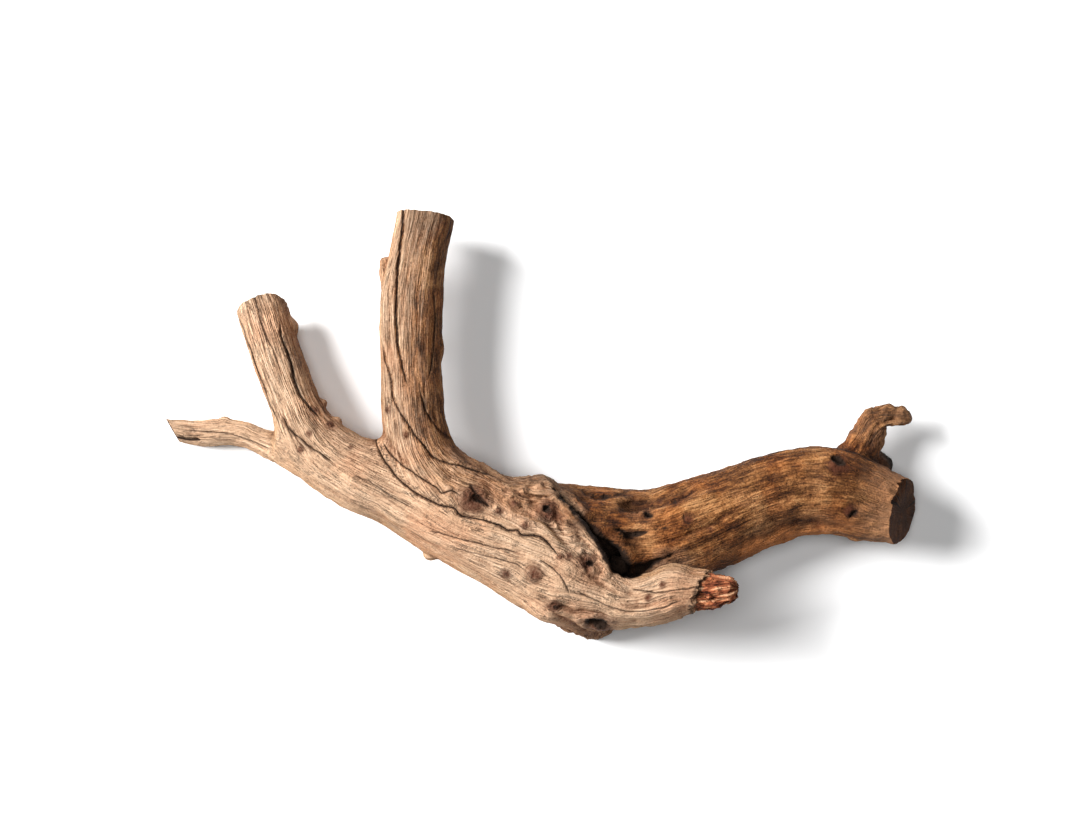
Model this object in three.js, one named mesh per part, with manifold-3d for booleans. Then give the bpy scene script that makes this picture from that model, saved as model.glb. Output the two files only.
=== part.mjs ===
// A piece of driftwood: one weathered branch that lies on its side. Millimetres, +Z up,
// with z = 0 the surface it rests on and the origin under the middle of its box.
//
// A thick trunk comes in from +X and runs under the body. The body carries two sawn
// stumps that point to +Y, a thin split twig that points to -X, and a broken spur.
// It rests on three worn spots: the foot under the body, the leg by the hook, and the twig.

import * as THREE from "three";
import { mergeVertices } from "three/addons/utils/BufferGeometryUtils.js";
import Module from "manifold-3d";

const wasm = await Module();
wasm.setup();

// ---------------------------------------------------------------- driving dimensions

const STEP_LENGTH = 8; // spacing of the rings along a limb
const THICK_SIDES = 20; // sides of a thick limb
const THIN_SIDES = 14; // sides of a twig or a peg
const FLUTE_DEPTH = 0.045; // how far a limb's section is from round, as a part of its radius
const TABLE_DEPTH = 60; // depth of the block that trims the resting spots at z = 0
const SAW_BLOCK = 130; // side of the block that a saw cut takes away
const REACH = { low: -249.5, high: 250 }; // how far the wood reaches along X

// Each limb is a list of stations along its pith: x, y, z, radius.
const LIMBS = {
  trunk: {
    sides: THICK_SIDES,
    stations: [
      [-17.5, -65.5, 38, 25], [11, -67.5, 34, 30], [41.5, -71.5, 32.5, 31.5],
      [74.5, -72, 32.5, 31.5], [107, -63, 33.5, 31.5], [138.5, -50.5, 34, 29.5],
      [168, -41.5, 34, 28.5], [194, -41.5, 35, 28.5], [215.5, -48, 36.5, 25.5],
      [236.5, -54.5, 39.5, 21.5], [250.5, -58, 41.5, 21],
    ],
  },
  body: {
    sides: THICK_SIDES,
    stations: [
      [-159, -12, 30, 12.5], [-140, -19, 33.5, 17], [-120, -27.5, 36, 19.5],
      [-94, -40.5, 38.5, 24], [-64.5, -55, 42, 28], [-33, -69, 45.5, 30.5],
      [-2.5, -82, 48, 34], [24, -94.5, 49.5, 32.5], [45, -106.5, 53.5, 21.5],
    ],
  },
  tall_stump: {
    sides: THICK_SIDES,
    stations: [
      [-71.5, 151.5, 40, 18.5], [-74, 135.5, 40, 19], [-78.5, 116, 40, 18.5],
      [-83.5, 83.5, 40, 20.5], [-84, 51, 40.5, 20], [-83, 21.5, 42, 20],
      [-80.5, -1.5, 44, 20.5], [-74.5, -21, 46, 22], [-60, -39, 48, 23.5],
      [-36.5, -54.5, 49.5, 23],
    ],
  },
  left_stump: {
    sides: THICK_SIDES,
    stations: [
      [-189, 96, 18.5, 16.5], [-182.5, 77.5, 20.5, 17], [-177, 61, 23.5, 17],
      [-172, 46.5, 26, 16.5], [-166, 30, 29.5, 16.5], [-159, 13.5, 32.5, 16.5],
      [-151, -3.5, 35.5, 17.5], [-137.5, -20, 38, 18.5], [-118.5, -33.5, 40, 18.5],
    ],
  },
  ridge: {
    sides: THIN_SIDES,
    stations: [
      [-56, -36.5, 48, 19.5], [-28, -47, 51, 16], [-0.5, -49, 52.5, 14.5],
      [19, -62.5, 55, 13], [34.5, -79.5, 57.5, 12], [47.5, -97.5, 60, 11],
    ],
  },
  twig: {
    sides: THIN_SIDES,
    stations: [
      [-249.5, 3, 8.5, 5.5], [-239.5, -2.5, 8.5, 7], [-224.5, -4, 8.5, 8.7],
      [-210, -3.5, 9.5, 9], [-196.5, -4.5, 12, 9], [-185.5, -8.5, 15.5, 8.5],
      [-172, -13.5, 20.5, 10], [-153.5, -17.5, 28, 13], [-133.5, -22.5, 33.5, 15.5],
    ],
  },
  spur: {
    sides: THIN_SIDES,
    stations: [
      [20.5, -99, 52, 27.5], [43, -109.5, 57.5, 19.5], [59, -113, 62, 16.5],
      [75, -110, 66.5, 17], [88.5, -105, 70.5, 17.5], [98.5, -105, 73.5, 14],
      [106, -105, 75.5, 12],
    ],
  },
  heartwood: {
    sides: THIN_SIDES,
    stations: [
      [91, -106, 71.5, 9], [107.5, -105, 75.5, 10], [119, -103.5, 78, 10],
      [127, -102.5, 79.5, 9],
    ],
  },
  foot: {
    sides: THIN_SIDES,
    stations: [
      [11, -94, 40, 30], [27.5, -111.5, 28, 25], [38, -120, 18.5, 19],
      [37, -127.5, 9.5, 12.5], [35.5, -132, -2.5, 10],
    ],
  },
  hook: {
    sides: THIN_SIDES,
    stations: [
      [197, -33, 28, 16], [208, -21.5, 22.5, 13], [216.5, -7, 22.5, 11],
      [221, 2.5, 24.5, 9.5], [226, 7, 26.5, 7.5], [232.5, 7.5, 28, 6],
      [239, 7.5, 27.5, 5.5], [244, 6.5, 25.5, 3.5],
    ],
  },
  leg: {
    sides: THIN_SIDES,
    stations: [
      [195.5, -37, 28, 18.5], [210.5, -28, 18.5, 14.5], [219.5, -23.5, 9.5, 11.5],
      [223.5, -22.5, -2.5, 9.5],
    ],
  },
  side_stub: {
    sides: THIN_SIDES,
    stations: [
      [-88, 69, 36, 9], [-94.5, 89, 33.5, 8], [-98.5, 103.5, 32, 6.5],
      [-100, 111.5, 31.5, 5.5],
    ],
  },
};

// Knots and burls that stand out of the wood: centre, then half sizes along X, Y and Z.
const KNOBS = [
  { at: [3, -40, 48], half: [10, 8, 10] }, // burl on the ridge of the body
  { at: [-44, -42, 64], half: [16, 9, 9] }, // raised callus under the tall stump
  { at: [-68, 51, 38], half: [7, 9, 9] }, // side of the tall stump
  { at: [-163.5, 66, 24], half: [6, 7, 6.5] }, // side of the left stump
  { at: [-143, 13, 32], half: [5.5, 6, 7] }, // lower on the left stump
  { at: [-208, 4.5, 12], half: [4, 3, 4] }, // on the twig
  { at: [-71, -84, 34], half: [5.5, 4.5, 6.5] }, // under side of the body
  { at: [208, -72, 33], half: [5.5, 3.5, 5.5] }, // under the trunk's sawn end
];

// Hollows: the dark pocket between body and trunk, and the knot holes.
const HOLLOWS = [
  { at: [56, -86, 62], half: [19, 8.5, 20] },
  { at: [98, -57.5, 68], half: [4.5, 5, 4] },
  { at: [195, -24, 57], half: [4.5, 3.5, 4] },
];

// Saw cuts: a point on the cut face and the way the face looks.
const SAW_CUTS = {
  trunk_end: { at: [238, -54.5, 40], facing: [0.88, -0.18, 0.44] },
  tall_stump_end: { at: [-72.5, 137.8, 40], facing: [0.13, 0.98, -0.16] },
  left_stump_end: { at: [-181, 76.5, 20.5], facing: [-0.27, 0.77, -0.58] },
  twig_tip: { at: [-243, -1.5, 8.5], facing: [-0.85, -0.5, 0.15] },
};

const WOOD = new THREE.MeshStandardMaterial({
  color: new THREE.Color().setRGB(0.56, 0.36, 0.22),
  roughness: 0.85,
  metalness: 0,
});

// ------------------------------------------------------------------------ shape tools

// A closed three.js geometry becomes a manifold solid once its shared corners are merged.
function toSolid(geometry) {
  geometry.deleteAttribute("normal");
  geometry.deleteAttribute("uv");
  const merged = mergeVertices(geometry, 1e-4);
  const mesh = new wasm.Mesh({
    numProp: 3,
    vertProperties: new Float32Array(merged.attributes.position.array),
    triVerts: new Uint32Array(merged.index.array),
  });
  return new wasm.Manifold(mesh);
}

function toGeometry(solid) {
  const mesh = solid.getMesh();
  const geometry = new THREE.BufferGeometry();
  geometry.setAttribute("position", new THREE.BufferAttribute(mesh.vertProperties, 3));
  geometry.setIndex(new THREE.BufferAttribute(mesh.triVerts, 1));
  geometry.computeVertexNormals();
  return geometry;
}

// A limb: a cylinder bent along its pith. The radius follows the stations, and shallow
// flutes keep the section from being round.
function limb({ sides, stations }, phase) {
  const pith = new THREE.CatmullRomCurve3(stations.map(([x, y, z]) => new THREE.Vector3(x, y, z)));
  const girth = new THREE.CatmullRomCurve3(
    stations.map(([, , , r], i) => new THREE.Vector3(r, i * STEP_LENGTH, 0)),
    false,
    "catmullrom",
  );
  const steps = Math.max(4, Math.round(pith.getLength() / STEP_LENGTH));
  const frames = pith.computeFrenetFrames(steps, false);
  const geometry = new THREE.CylinderGeometry(1, 1, 1, sides, steps);
  const position = geometry.attributes.position;
  const corner = new THREE.Vector3();
  for (let i = 0; i < position.count; i += 1) {
    corner.fromBufferAttribute(position, i);
    const ring = Math.round((corner.y + 0.5) * steps);
    const along = ring / steps;
    const angle = Math.atan2(corner.z, corner.x);
    const spread = Math.hypot(corner.x, corner.z);
    const flute = 1 + FLUTE_DEPTH * Math.cos(3 * angle + phase + 2.5 * along);
    const radius = spread * flute * girth.getPoint(pith.getUtoTmapping(along)).x;
    const point = pith.getPointAt(along);
    point.addScaledVector(frames.normals[ring], -radius * Math.cos(angle));
    point.addScaledVector(frames.binormals[ring], radius * Math.sin(angle));
    position.setXYZ(i, point.x, point.y, point.z);
  }
  return toSolid(geometry);
}

// An egg-shaped lump, used for knobs and for hollows.
function lump({ at, half }) {
  const geometry = new THREE.SphereGeometry(1, 14, 9);
  geometry.scale(...half);
  geometry.translate(...at);
  return toSolid(geometry);
}

// The block on the far side of a flat cut.
function block(at, facing, size) {
  const turn = new THREE.Quaternion().setFromUnitVectors(
    new THREE.Vector3(0, 0, 1),
    new THREE.Vector3(...facing).normalize(),
  );
  const geometry = new THREE.BoxGeometry(size, size, size / 2);
  geometry.translate(0, 0, size / 4);
  geometry.applyQuaternion(turn);
  geometry.translate(...at);
  return toSolid(geometry);
}

// -------------------------------------------------------------------------- driftwood

function sawn(name, cutName) {
  const phase = name.length;
  const { at, facing } = SAW_CUTS[cutName];
  return limb(LIMBS[name], phase).subtract(block(at, facing, SAW_BLOCK));
}

function driftwood() {
  const whole = ["body", "ridge", "spur", "heartwood", "foot", "hook", "leg", "side_stub"];
  let wood = whole
    .map((name) => limb(LIMBS[name], name.length))
    .reduce((sum, part) => sum.add(part));
  wood = wood
    .add(sawn("trunk", "trunk_end"))
    .add(sawn("tall_stump", "tall_stump_end"))
    .add(sawn("left_stump", "left_stump_end"))
    .add(sawn("twig", "twig_tip"));
  for (const knob of KNOBS) {
    wood = wood.add(lump(knob));
  }
  for (const hollow of HOLLOWS) {
    wood = wood.subtract(lump(hollow));
  }
  const table = new THREE.BoxGeometry(2 * (REACH.high - REACH.low), 600, TABLE_DEPTH);
  table.translate(0, 0, -TABLE_DEPTH / 2);
  const mesh = new THREE.Mesh(toGeometry(wood.subtract(toSolid(table))), WOOD);
  mesh.name = "driftwood";
  return mesh;
}

const part = new THREE.Group();
part.add(driftwood());

export default part;
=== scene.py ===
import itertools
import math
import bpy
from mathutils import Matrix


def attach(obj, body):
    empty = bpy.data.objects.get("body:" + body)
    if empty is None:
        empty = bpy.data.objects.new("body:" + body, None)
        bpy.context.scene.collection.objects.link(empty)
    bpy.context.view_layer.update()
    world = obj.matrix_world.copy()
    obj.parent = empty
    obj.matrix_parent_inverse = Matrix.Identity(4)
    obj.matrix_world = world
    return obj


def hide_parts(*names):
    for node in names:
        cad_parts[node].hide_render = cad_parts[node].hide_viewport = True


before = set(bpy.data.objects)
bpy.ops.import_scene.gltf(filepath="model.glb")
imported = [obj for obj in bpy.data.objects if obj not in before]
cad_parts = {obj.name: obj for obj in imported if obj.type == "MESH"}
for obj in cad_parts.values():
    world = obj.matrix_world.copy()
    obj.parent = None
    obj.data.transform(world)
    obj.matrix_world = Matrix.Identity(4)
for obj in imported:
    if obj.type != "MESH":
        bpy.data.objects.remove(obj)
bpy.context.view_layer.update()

# A piece of driftwood, as one skin of wood. The limbs are profiles carried along their
# piths. They are joined, settled onto one smooth surface, and then given furrows, cracks,
# folds and knots. All working sizes are in millimetres; a mesh gets metres.

from types import SimpleNamespace

import bpy
import numpy as np
from mathutils import Vector

# -------------------------------------------------------------------- driving dimensions

MM = 0.001
NODE = "driftwood"
PATH_STEP = 2.0  # spacing of the samples along a pith
ROUGH_VOXEL = 2.6  # first skin, only to get the shape
FINE_VOXEL = 1.75  # second skin
FAR = 60.0  # a distance that stands for "nowhere near"
ANY = 1000.0  # a distance past everything
SHARE_REACH = 14.0  # how much farther off than the nearest limb one may be and still share
ARM_BLEND = 5  # blend between the brown arm and the rest
SLOT_BLEND = 2.5
SLOT_REACH = 14  # a slot touches nothing farther than this from its line
LINE_REACH = 12  # nor does a line drawn in plan
BOX_SPARE = 28  # room round a limb, past its widest blend
PROBE = 0.4  # step that measures how fast the depth changes
KNOT_SEARCH = 2.5  # how near in plan the skin has to be to a knot's place
TOP_LEVELS = (4, 96)  # heights searched for the top side
PHASE_STEP = 31.7  # sets the limbs' grain apart
TEAR_REACH = 3.5  # how far behind a cut the tear fades out
CAP_RINGS = 7  # rings of faces that close a cut
SMOOTHING = 18  # rounds of relaxing that tell high spots from low ones
GRAIN_SETS = "abcd"  # limbs that lie close hold their grain in different sets
BROWN_ARM = {"trunk", "hook", "leg"}  # grown together, and only tucked against the rest

# Stations along each pith: x, y, z, radius. fillet is how far the limb blends into others,
# grain is the set that holds its grain, pale is 1 on bleached wood and 0 on brown,
# gnarl is the height of its lumps, furrow is how strongly it is furrowed, and ribs is the
# height of its ribs, if it has any.
LIMBS = {
    "body": dict(fillet=18, grain="b", pale=1.0, gnarl=0.35, furrow=0.35, stations=[
        (-159, -12, 30, 12.5), (-140, -19, 33.5, 17), (-120, -27.5, 36, 19.5),
        (-94, -40.5, 38.5, 24), (-64.5, -55, 42, 28), (-33, -69, 45.5, 30.5),
        (-2.5, -82, 48, 34), (24, -94.5, 49.5, 32.5), (45, -106.5, 53.5, 21.5)]),
    "trunk": dict(fillet=9, grain="a", pale=0.0, gnarl=0.7, furrow=0.22, stations=[
        (-17.5, -65.5, 38, 25), (11, -67.5, 34, 30), (41.5, -71.5, 32.5, 31.5),
        (74.5, -72, 32.5, 31.5), (107, -63, 33.5, 31.5), (138.5, -50.5, 34, 29.5),
        (168, -41.5, 34, 28.5), (194, -41.5, 35, 28.5), (215.5, -48, 36.5, 25.5),
        (236.5, -54.5, 39.5, 21.5), (250.5, -58, 41.5, 21)]),
    "tall_stump": dict(fillet=26, grain="c", pale=0.4, gnarl=0.3, furrow=1.0, stations=[
        (-71.5, 151.5, 40, 18.5), (-74, 135.5, 40, 19), (-78.5, 116, 40, 18.5),
        (-83.5, 83.5, 40, 20.5), (-84, 51, 40.5, 20), (-83, 21.5, 42, 20),
        (-80.5, -1.5, 44, 20.5), (-74.5, -21, 46, 22), (-60, -39, 48, 23.5),
        (-36.5, -54.5, 49.5, 23)]),
    "left_stump": dict(fillet=24, grain="a", pale=0.75, gnarl=0.4, furrow=0.95, stations=[
        (-189, 96, 18.5, 16.5), (-182.5, 77.5, 20.5, 17), (-177, 61, 23.5, 17),
        (-172, 46.5, 26, 16.5), (-166, 30, 29.5, 16.5), (-159, 13.5, 32.5, 16.5),
        (-151, -3.5, 35.5, 17.5), (-137.5, -20, 38, 18.5), (-118.5, -33.5, 40, 18.5)]),
    "ridge": dict(fillet=8, grain="d", pale=0.45, gnarl=1.35, furrow=1.2, ribs=2.4, stations=[
        (-56, -36.5, 48, 19.5), (-28, -47, 51, 16), (-0.5, -49, 52.5, 14.5),
        (19, -62.5, 55, 13), (34.5, -79.5, 57.5, 12), (47.5, -97.5, 60, 11)]),
    "twig": dict(fillet=12, grain="c", pale=1.0, gnarl=0.4, furrow=0.6, stations=[
        (-249.5, 0.2, 8.5, 5.8), (-240, -2, 8.5, 7), (-224.5, -4, 8.5, 8.7),
        (-210, -3.5, 9.5, 9), (-196.5, -4.5, 12, 9), (-185.5, -8.5, 15.5, 8.5),
        (-172, -13.5, 20.5, 10), (-153.5, -17.5, 28, 13), (-133.5, -22.5, 33.5, 15.5)]),
    "spur": dict(fillet=16, grain="c", pale=1.0, gnarl=0.6, furrow=0.45, stations=[
        (20.5, -99, 52, 27.5), (43, -109.5, 57.5, 19.5), (59, -113, 62, 16.5),
        (75, -110, 66.5, 17), (88.5, -105, 70.5, 17.5), (98.5, -105, 73.5, 14.5),
        (114, -105, 76.5, 13.5)]),
    "heartwood": dict(fillet=2, grain="d", pale=0.3, gnarl=0.3, furrow=0.3, stations=[
        (91, -106, 71.5, 10), (107.5, -105, 75.5, 11), (115, -104, 77.5, 11),
        (119, -103.5, 78.2, 9.5)]),
    "foot": dict(fillet=12, grain="a", pale=0.45, gnarl=1.6, furrow=1.0, ribs=1.6, stations=[
        (11, -94, 40, 30), (27.5, -111.5, 28, 25), (38, -120, 18.5, 19),
        (37, -127.5, 9.5, 12.5), (35.5, -132, -6, 10)]),
    "hook": dict(fillet=7, grain="b", pale=0.13, gnarl=1.5, furrow=0.4, ribs=0.4, stations=[
        (197, -33, 28, 16), (208, -21.5, 22.5, 13), (216.5, -7, 22.5, 11),
        (221, 2.5, 24.5, 9.5), (226, 7, 26.5, 7.5), (232.5, 7.5, 28, 6),
        (239, 7.5, 27.5, 5.5), (243, 6.5, 25.5, 3.5)]),
    "leg": dict(fillet=6, grain="d", pale=0.0, gnarl=1.0, furrow=0.3, stations=[
        (195.5, -37, 28, 18.5), (211, -29, 18.5, 14.5), (221, -26.5, 9.5, 12),
        (226, -26, -6, 10.5)]),
    "side_stub": dict(fillet=5, grain="b", pale=0.4, gnarl=0.3, furrow=0.8, stations=[
        (-88, 69, 36, 9), (-94.5, 89, 33.5, 8), (-98.5, 103.5, 32, 6.5),
        (-100, 108, 31.5, 4.5)]),
}

# Burls and lumps: centre, half sizes, blend.
LUMPS = [
    ((3, -40, 48), (10, 8, 10), 8), ((-44, -42, 64), (15, 8, 8), 10),
    ((-68, 51, 38), (6.5, 8, 8), 7), ((-163.5, 66, 24), (5.5, 6, 6), 5),
    ((-141.5, 16, 33), (3.4, 3.2, 4), 3),
    ((-132.5, 3.8, 36), (3.4, 3.2, 4), 3), ((-208, 4.5, 12), (4, 3, 4), 3),
    ((-71, -83.5, 34), (4.5, 3.5, 5), 5), ((208, -72, 33), (5, 2.5, 5), 4),
    ((8, -114, 62), (12, 10, 10), 9), ((217, 7, 29), (5, 4.5, 4.5), 4),
    ((230, 10.5, 29.5), (5.5, 4, 4), 3), ((238.5, 9, 28), (4.5, 4.5, 4), 3),
    ((218, -14, 27), (6, 7, 5), 4),
    ((32, -128, 14), (11, 11, 17), 6), ((45, -125, 22), (8, 6, 8), 5),
]
# Hollows with soft walls, sunk into the top side: x, y, half sizes, turn in degrees, blend.
HOLLOWS = [
    (63, -50, (8.5, 6, 6.5), 12, 8), (71.2, -56.8, (3.2, 2.2, 4), -30, 1.5),
    (88, -47.5, (1.8, 1.6, 4), 0, 1), (203.5, -55.5, (3.2, 2.0, 3), 30, 1.5),
    (38, -126, (7.0, 4.2, 6), -14, 2.5), (-39, -45.5, (3.4, 1.8, 3), -40, 1.5),
    (5, -51.8, (2.7, 2.2, 3.4), 20, 1.5), (33, -86.8, (2.2, 1.7, 2.8), 0, 1.5),
    (194.2, -21.4, (5.0, 2.7, 5.0), -33, 1.5),
]
# Slots, sunk into the top side as if the wood were squeezed to SQUEEZE of its height:
# x, y, radius.
SQUEEZE = 0.35
SLOTS = [
    [(33, -66.5, 2.2), (39.5, -73, 4.0), (46, -80, 6.2), (53, -87, 7.5), (61, -91.5, 5.8),
     (69, -89.5, 2.6), (77, -85.5, 1.1), (87, -81, 0.4)],
    [(25, -39, 0.6), (31, -42, 1.1), (38, -45, 1.5), (47.5, -44.5, 1.2), (58, -41.5, 0.6)],
    [(49, -65, 0.7), (54, -67.8, 1.4), (60, -69.3, 1.6), (66, -68.2, 0.9), (74, -66, 0.4),
     (86, -64, 0.2)],
    [(9, -39.5, 0.9), (13, -44.5, 1.4), (20, -51.5, 1.6), (28, -59, 1.8), (34, -66.5, 2.4)],
]
# Flat cuts: a point on the cut, the way it faces, how far round that point it reaches, and
# how far the grain tore back from its upper rim.
SAW_CUTS = [
    ((238, -54.5, 40), (0.88, -0.18, 0.44), 42, 1.9),
    ((-72.5, 137.8, 40), (0.13, 0.98, -0.16), 36, 0.5),
    ((-181, 76.5, 20.5), (-0.27, 0.77, -0.58), 48, 0.5),
    ((-243, -1.5, 8.5), (-0.85, -0.5, 0.15), 20, 1.8),
]
REST_CUT = ((0, 0, 0), (0, 0, -1), ANY)  # the level it rests on
SPUR_BREAK = ((104, -105, 75), (0.9, -0.36, 0.25))
# Boxes round parts of the wood: low corner, high corner.
SPUR_TIP = ((92, -ANY, -ANY), (135, -86, ANY))
FINE_TIP = ((92, -ANY, 58), (132, -88, ANY))
FINE_HOOK = ((206, -20, 16), (ANY, ANY, ANY))
TRUNK_END = ((180, -ANY, -ANY), (ANY, ANY, ANY))

# Cracks seen from above: half width, depth, then the points they pass.
CRACKS = [
    (0.55, 3.0, [(-87, 150), (-89, 125), (-91, 105.5), (-92, 83), (-92, 66.5), (-91, 53.5),
                 (-89, 44), (-86.5, 34), (-84, 26)]),
    (0.32, 2.0, [(-101.5, 57), (-99.5, 44), (-96, 32.5), (-93.5, 18), (-86, 5), (-76.5, -8),
                (-66, -19.5), (-50.5, -24.5), (-38, -28.5), (-25, -32.5)]),
    (0.35, 0.8, [(-68.5, 90), (-67, 66), (-69, 42), (-72, 30)]),
    (0.3, 1.2, [(-76.5, 24), (-73.5, 13), (-69, 5), (-62, -3.5), (-52, -9)]),
    (0.42, 2.4, [(-105.5, -2), (-105, -11.5), (-97.5, -24), (-89.5, -33.5), (-81.5, -40),
                 (-63.5, -49.5), (-53.5, -51.5), (-49, -56), (-28, -61), (-19.5, -65.5),
                 (-13, -65.5), (-10.5, -68.5), (1, -69.5), (6, -73.5), (11, -78.5), (14, -83)]),
    (0.32, 1.8, [(-101, -9), (-96.5, -15.5), (-89.5, -22.5), (-73, -33.5), (-65, -38.5),
                (-62, -42), (-55.5, -40), (-50, -43)]),
    (0.3, 0.8, [(1, -84.5), (7.5, -88.5), (14, -94), (17.5, -100.5), (20, -106)]),
    (0.3, 0.5, [(-70, -66), (-53.5, -70.5), (-34.5, -75), (-13, -80)]),
    (0.3, 0.5, [(-54, -77.5), (-37.5, -81.5), (-21.5, -85), (-10, -89)]),
    (0.8, 1.8, [(-44, -36), (-41.5, -40.5), (-37.5, -44.5), (-31, -50.5)]),
    (0.3, 0.7, [(93.8, -55.5), (94, -60), (97, -61.6), (100, -60.3)]),
    (0.45, 1.2, [(-197, 73), (-191, 57.5), (-185.5, 43), (-180, 28), (-174, 13), (-168, 1)]),
    (0.45, 1.1, [(-187, 90), (-182, 72), (-178, 60.5), (-173, 51)]),
    (0.6, 1.8, [(-169.5, 69), (-167, 57.5), (-162, 45.5), (-158.5, 31), (-153.5, 19.5),
                (-142, 6)]),
    (0.45, 1.2, [(-167, 8), (-161.5, -1.5), (-155, -6.5), (-147, -12.5), (-133, -22)]),
    (0.9, 2.6, [(-246, -4), (-234, -7.5), (-223, -8.5)]),
    (0.3, 0.6, [(-232, -1.5), (-213.5, -3), (-197, -6), (-176, -14.5)]),
    (0.3, 0.6, [(-119, -30), (-105, -37), (-92, -46), (-80, -52)]),
    (0.35, 0.8, [(24, -104), (40, -112), (56, -117), (74, -116), (92, -110)]),
    (0.35, 0.8, [(60, -103), (76, -105), (90, -103), (103, -101)]),
]
RIDGE_LINE = [(-46, -41), (-20, -45), (2, -50), (18, -62), (32, -78), (42, -94)]
PALE_STRIP = [(8, -36), (17, -45), (25, -52.5), (32, -57.5)]
BROWN_PATCH = [(24, -52), (36, -60), (46, -67), (56, -75), (62, -84)]
# Stains and painted shadows seen from above: name, half width, points.
STAINS_AND_SHADOWS = [
    ("grey", 7.5, [(112, -78), (135, -71), (152, -65), (167, -61.5), (186, -56.5), (204, -53),
                   (224, -51)]),
    # Painted shadows in the dip by the ridge, along the ridge and along the spur's upper edge.
    ("painted_shadow", 6.0, [(53, -40), (59, -45), (65, -50), (70, -55), (75, -61)]),
    ("painted_shadow", 5.0, [(18, -50), (28, -59), (38, -66), (48, -70), (60, -73), (74, -70)]),
    ("painted_shadow", 4.0, [(56, -95), (66, -90), (78, -84), (92, -80)]),
    ("rust", 5.5, [(120, -84), (140, -78), (165, -71.5), (190, -66), (207, -62.5), (218, -60)]),
]
OPEN_ENDS = {(-87, 150), (-246, -4)}  # cracks that start at a cut end
# Folds and ribs seen from above: half width, height (a fold is negative), points.
POCKET_RIB = (3.4, 5.0, [(32, -60), (43, -66), (52, -71.5), (57.5, -78), (61, -86), (62, -94)])
FOLDS = [
    (2.6, 3.4, [(12.6, -38.9), (20.4, -45.3), (29.4, -54.4), (37.2, -60.8)]),
    (3.2, 3.4, [(-12, -34), (-1.6, -33), (6, -35.5), (9.5, -46), (17.8, -53.5), (26.5, -62.5),
                (33, -71), (39, -79.5), (43, -89), (46, -96.5), (55, -100)]),
    POCKET_RIB,
    (1.6, -1.4, [(9.5, -47), (11.5, -53), (12, -59), (15, -65), (20, -70)]),
    (1.8, -1.6, [(22, -48.5), (30, -55.5), (38, -61), (47.5, -66)]),
    (3.6, -3.2, [(50, -52), (60, -49), (72, -48.5), (88, -44), (104, -37)]),
    (3.0, 1.8, [(56, -56), (72, -55.5), (88, -52), (104, -46), (122, -38)]),
    (2.4, -2.2, [(70, -74), (84, -73.5), (98, -69), (112, -62), (130, -52)]),
    (3.4, 1.4, [(66, -80), (84, -77), (102, -72), (120, -63)]),
    (4.5, -1.4, [(-64, -28), (-50, -33), (-36, -37), (-22, -38)]),
    (2.2, -1.6, [(-22, -44), (-10, -45), (-2, -49), (4, -57), (14, -70), (24, -80)]),
    (2.8, 1.6, [(-30, -52), (-16, -56), (-2, -62), (10, -72), (18, -82)]),
    (2.0, -1.4, [(22, -76), (28, -82), (31, -90), (38, -98), (48, -104)]),
    (3.5, 1.6, [(40, -118), (60, -119), (80, -116), (96, -111)]),
    (2.0, -1.0, [(48, -112), (62, -114), (78, -111), (94, -107)]),
    (6.0, 2.0, [(150, -56), (172, -53), (196, -57), (216, -62)]),
    (6.0, -1.6, [(140, -62), (165, -60), (190, -63), (214, -68)]),
    (1.5, -1.6, [(10, -112), (20, -117.5), (30, -119), (40, -120), (48, -124)]),
    (1.5, -1.6, [(6, -116), (15, -123), (24, -129), (33, -136)]),
    (1.6, 1.4, [(8, -114), (18, -120.5), (27, -125), (33, -132)]),
    (2.2, -1.2, [(-96, -56), (-70, -72), (-40, -88), (-8, -106)]),
    (2.2, -1.0, [(-120, -44), (-90, -64), (-60, -80), (-30, -96)]),
    (2.6, 1.2, [(-110, -46), (-80, -66), (-48, -84), (-16, -101)]),
    (1.8, -1.2, [(-104, 4), (-98, -8), (-90, -18), (-80, -26)]),
    (1.8, -1.0, [(-70, 20), (-66, 4), (-56, -12), (-44, -22), (-28, -30)]),
]
# Knots seen from above: x, y, radius, height, depth of the pit in the middle.
KNOTS = [
    (-144, 13, 2.4, 0.5, 0.6), (-133, 3.5, 2.4, 0.5, 0.8), (5, -52, 6.0, 2.6, 1.0),
    (-4, -95.5, 4.0, 2.2, 0.2), (-21.5, -96, 2.8, 0.8, 0.8), (8.5, -115, 3.4, 1.0, 1.6),
    (32.5, -86.5, 4.5, 1.4, 1.0), (-157, -14.5, 1.8, 0.4, 0.8), (-150, -1.5, 1.8, 0.3, 0.8),
    (77.5, -98.5, 1.7, 0.4, 0.6), (67.5, -108.5, 1.8, 0.5, 0.4), (97.3, -58, 2.8, 1.4, 0.2),
    (109, -64.5, 1.4, 0.3, 0.8), (194.5, -22.5, 5, 1.0, 0.4), (203.5, -55.5, 3.2, 0.4, 0.6),
    (36.5, -126.5, 8.5, 2.2, 1.4), (20.4, -79.6, 2.0, 0.8, 0.6), (-40, -44, 7, 1.6, 0.8),
    (14, -80, 1.6, 0.6, 0.4), (-26, -51, 2.2, 0.8, 0.6), (-14, -46, 2.4, 1.0, 0.6),
    (-8, -60, 2.0, 0.7, 0.5), (78, -46, 1.6, 0.4, 0.8), (-100, 12, 2.0, 0.6, 0.5),
    (-121, -10, 1.4, 0.4, 0.4), (-58, -4, 1.5, 0.5, 0.5), (-88, -4, 1.5, 0.5, 0.3),
    (-9, -38, 2.8, 1.8, -0.5), (0, -36, 2.6, 1.6, -0.4), (10, -43, 2.4, 1.8, -0.5),
    (-13, -48, 2.2, 1.2, -0.3), (12.5, -60, 2.6, 1.5, -0.4), (-3, -60, 2.0, 1.2, -0.3),
    (24, -68, 2.6, 1.4, -0.4), (38, -92, 2.8, 1.4, -0.4), (29, -78, 2.2, 1.4, -0.4),
    (-48, -43, 3.2, 1.6, -0.3), (-34, -40, 2.8, 1.6, -0.4), (-56, -38, 2.2, 1.2, -0.3),
]

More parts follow.
